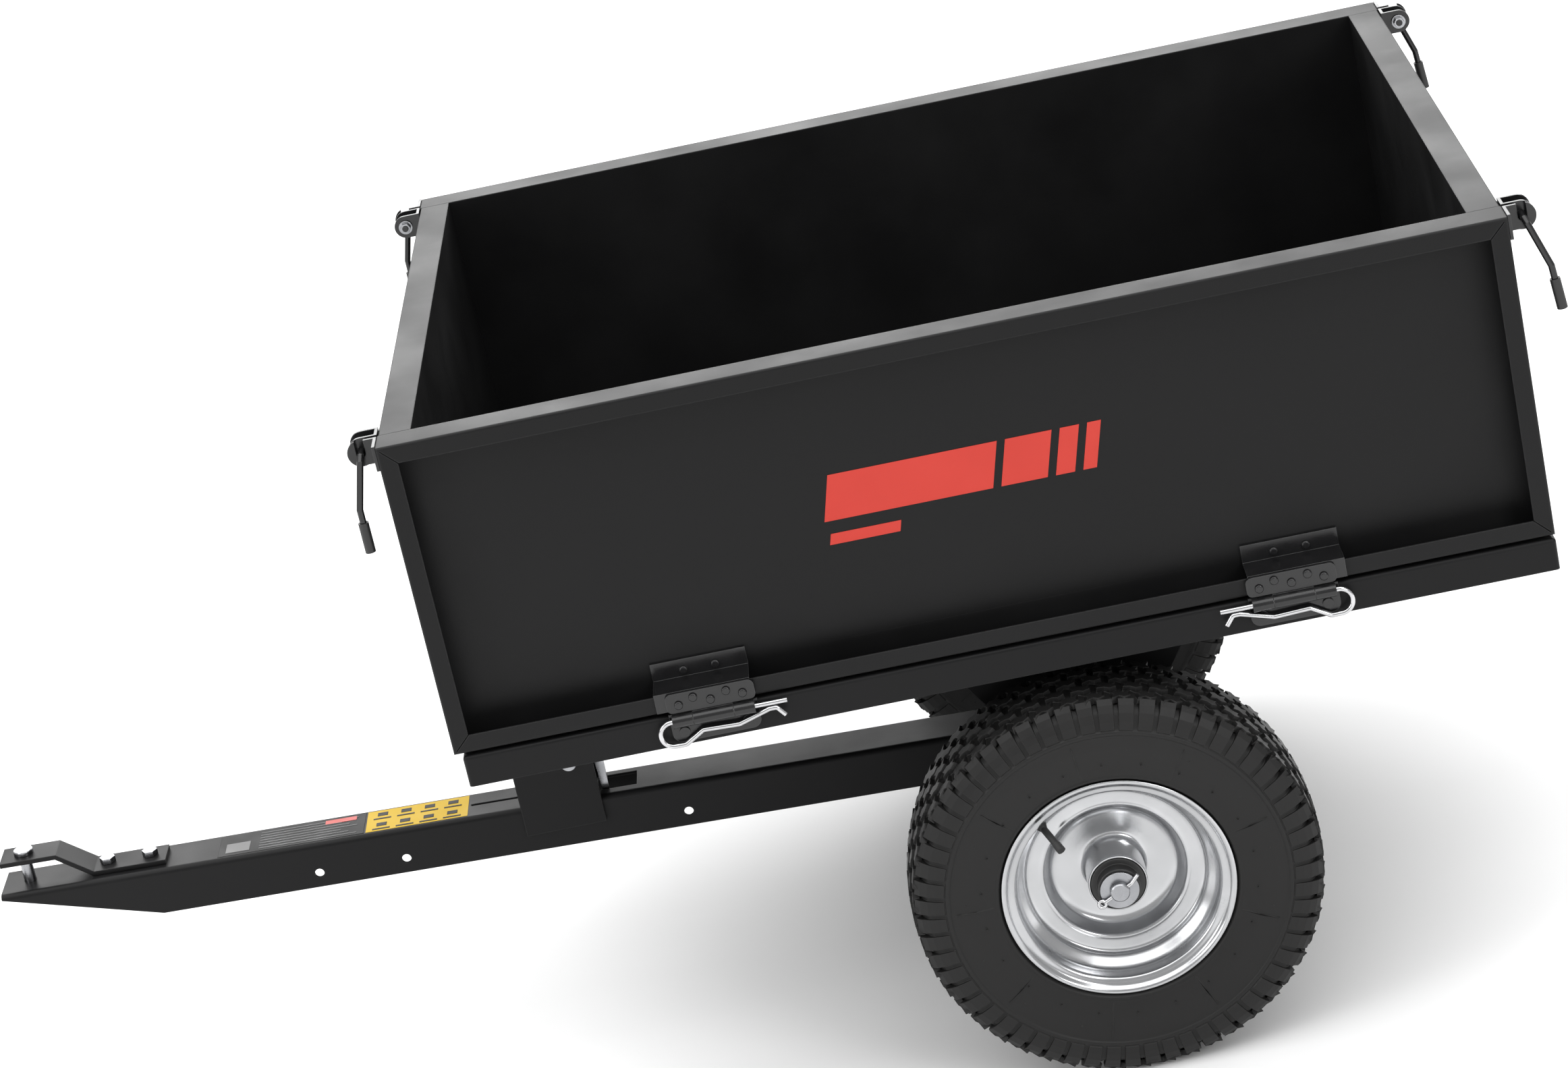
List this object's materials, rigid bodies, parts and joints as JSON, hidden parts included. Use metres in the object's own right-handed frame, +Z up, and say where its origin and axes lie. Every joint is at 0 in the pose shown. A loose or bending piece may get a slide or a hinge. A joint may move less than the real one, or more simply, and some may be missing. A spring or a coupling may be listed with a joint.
{
  "type": "tow behind cart",
  "caption": "Tow-behind tipping cart with a rectangular drop-side bed on two pneumatic wheels and a straight channel drawbar.",
  "frame": {"origin": "centre of the whole object's box in X and Y, on the ground under the tyres", "axes": "+Z up; -X forward towards the hitch; +Y to the right-hand wheel when facing forward, along the axle"},
  "size_m": [1.6718, 0.852, 0.7912],
  "materials": {
    "panel_paint": "textured satin black powder coat",
    "frame_paint": "satin black paint",
    "zinc": "bright zinc plate",
    "bright_wire": "bright plated wire",
    "rim": "bright plated rim",
    "bush": "dark bearing bush",
    "tyre": "black tyre rubber",
    "valve_rubber": "black rubber",
    "grip": "black rubber sleeve"
  },
  "bodies": {
    "chassis": {"drawbar": "frame_paint", "drawbar_cheeks": "frame_paint", "drawbar_bolts": "zinc", "hitch_strap": "frame_paint", "hitch_bolts": "zinc", "axle": "zinc", "axle_spacers": "zinc", "cotter_pins": "bright_wire"},
    "hitch_pin": {"hitch_pin": "zinc"},
    "bed": {"floor_pan": "frame_paint", "cross_members": "frame_paint", "axle_bracket_left": "frame_paint", "axle_bracket_right": "frame_paint", "latch_saddle": "frame_paint", "latch_pivot": "zinc", "frame_bolts": "zinc", "hinge_bases": "zinc", "hinge_clips": "bright_wire"},
    "tilt_latch": {"tilt_latch": "zinc"},
    "panel_left": {"panel_left": "panel_paint", "hinge_straps_left": "zinc", "hinge_leaves_left": "zinc", "hinge_bolts_left": "zinc", "keepers_left": "zinc"},
    "panel_right": {"panel_right": "panel_paint", "hinge_straps_right": "zinc", "hinge_leaves_right": "zinc", "hinge_bolts_right": "zinc", "keepers_right": "zinc"},
    "panel_front": {"panel_front": "panel_paint", "hinge_straps_front": "zinc", "hinge_leaves_front": "zinc", "hinge_bolts_front": "zinc", "latch_ears_front": "zinc"},
    "panel_rear": {"panel_rear": "panel_paint", "hinge_straps_rear": "zinc", "hinge_leaves_rear": "zinc", "hinge_bolts_rear": "zinc", "latch_ears_rear": "zinc"},
    "lever_front_left": {"latch_lever_front_left": "zinc", "latch_grip_front_left": "grip", "latch_nut_front_left": "zinc"},
    "lever_front_right": {"latch_lever_front_right": "zinc", "latch_grip_front_right": "grip", "latch_nut_front_right": "zinc"},
    "lever_rear_left": {"latch_lever_rear_left": "zinc", "latch_grip_rear_left": "grip", "latch_nut_rear_left": "zinc"},
    "lever_rear_right": {"latch_lever_rear_right": "zinc", "latch_grip_rear_right": "grip", "latch_nut_rear_right": "zinc"},
    "wheel_left": {"tyre_left": "tyre", "rim_left": "rim", "wheel_bushes_left": "bush", "valve_left": "valve_rubber"},
    "wheel_right": {"tyre_right": "tyre", "rim_right": "rim", "wheel_bushes_right": "bush", "valve_right": "valve_rubber"}
  },
  "joints": [
    {"name": "hitch_pin_slide", "type": "slide", "parent": "chassis", "child": "hitch_pin", "axis": [0.0335, 0, 0.9994], "range_m": [0, 0.045]},
    {"name": "bed_tilt", "type": "hinge", "parent": "chassis", "child": "bed", "pos_m": [0.32461, 0, 0.203], "axis": [0, 1, 0], "range_deg": [0, 40]},
    {"name": "latch_turn", "type": "hinge", "parent": "bed", "child": "tilt_latch", "pos_m": [-0.21239, 0, 0.281], "axis": [0, -1, 0], "range_deg": [0, 30]},
    {"name": "panel_left_hinge", "type": "hinge", "parent": "bed", "child": "panel_left", "pos_m": [0.25961, -0.408, 0.464], "axis": [-1, 0, 0], "range_deg": [-90, 0]},
    {"name": "panel_right_hinge", "type": "hinge", "parent": "bed", "child": "panel_right", "pos_m": [0.25961, 0.408, 0.464], "axis": [1, 0, 0], "range_deg": [-90, 0]},
    {"name": "panel_front_hinge", "type": "hinge", "parent": "bed", "child": "panel_front", "pos_m": [-0.28039, 0, 0.464], "axis": [0, 1, 0], "range_deg": [-90, 0]},
    {"name": "panel_rear_hinge", "type": "hinge", "parent": "bed", "child": "panel_rear", "pos_m": [0.79961, 0, 0.464], "axis": [0, -1, 0], "range_deg": [-90, 0]},
    {"name": "lever_front_left_turn", "type": "hinge", "parent": "panel_front", "child": "lever_front_left", "pos_m": [-0.28989, -0.35, 0.779], "axis": [0, -1, 0], "range_deg": [-160, 0]},
    {"name": "lever_front_right_turn", "type": "hinge", "parent": "panel_front", "child": "lever_front_right", "pos_m": [-0.28989, 0.35, 0.779], "axis": [0, -1, 0], "range_deg": [-160, 0]},
    {"name": "lever_rear_left_turn", "type": "hinge", "parent": "panel_rear", "child": "lever_rear_left", "pos_m": [0.80911, -0.35, 0.779], "axis": [0, 1, 0], "range_deg": [-160, 0]},
    {"name": "lever_rear_right_turn", "type": "hinge", "parent": "panel_rear", "child": "lever_rear_right", "pos_m": [0.80911, 0.35, 0.779], "axis": [0, 1, 0], "range_deg": [-160, 0]},
    {"name": "wheel_left_spin", "type": "hinge", "parent": "chassis", "child": "wheel_left", "pos_m": [0.32461, -0.3655, 0.203], "axis": [0, 1, 0], "continuous": true},
    {"name": "wheel_right_spin", "type": "hinge", "parent": "chassis", "child": "wheel_right", "pos_m": [0.32461, 0.3655, 0.203], "axis": [0, 1, 0], "continuous": true}
  ]
}
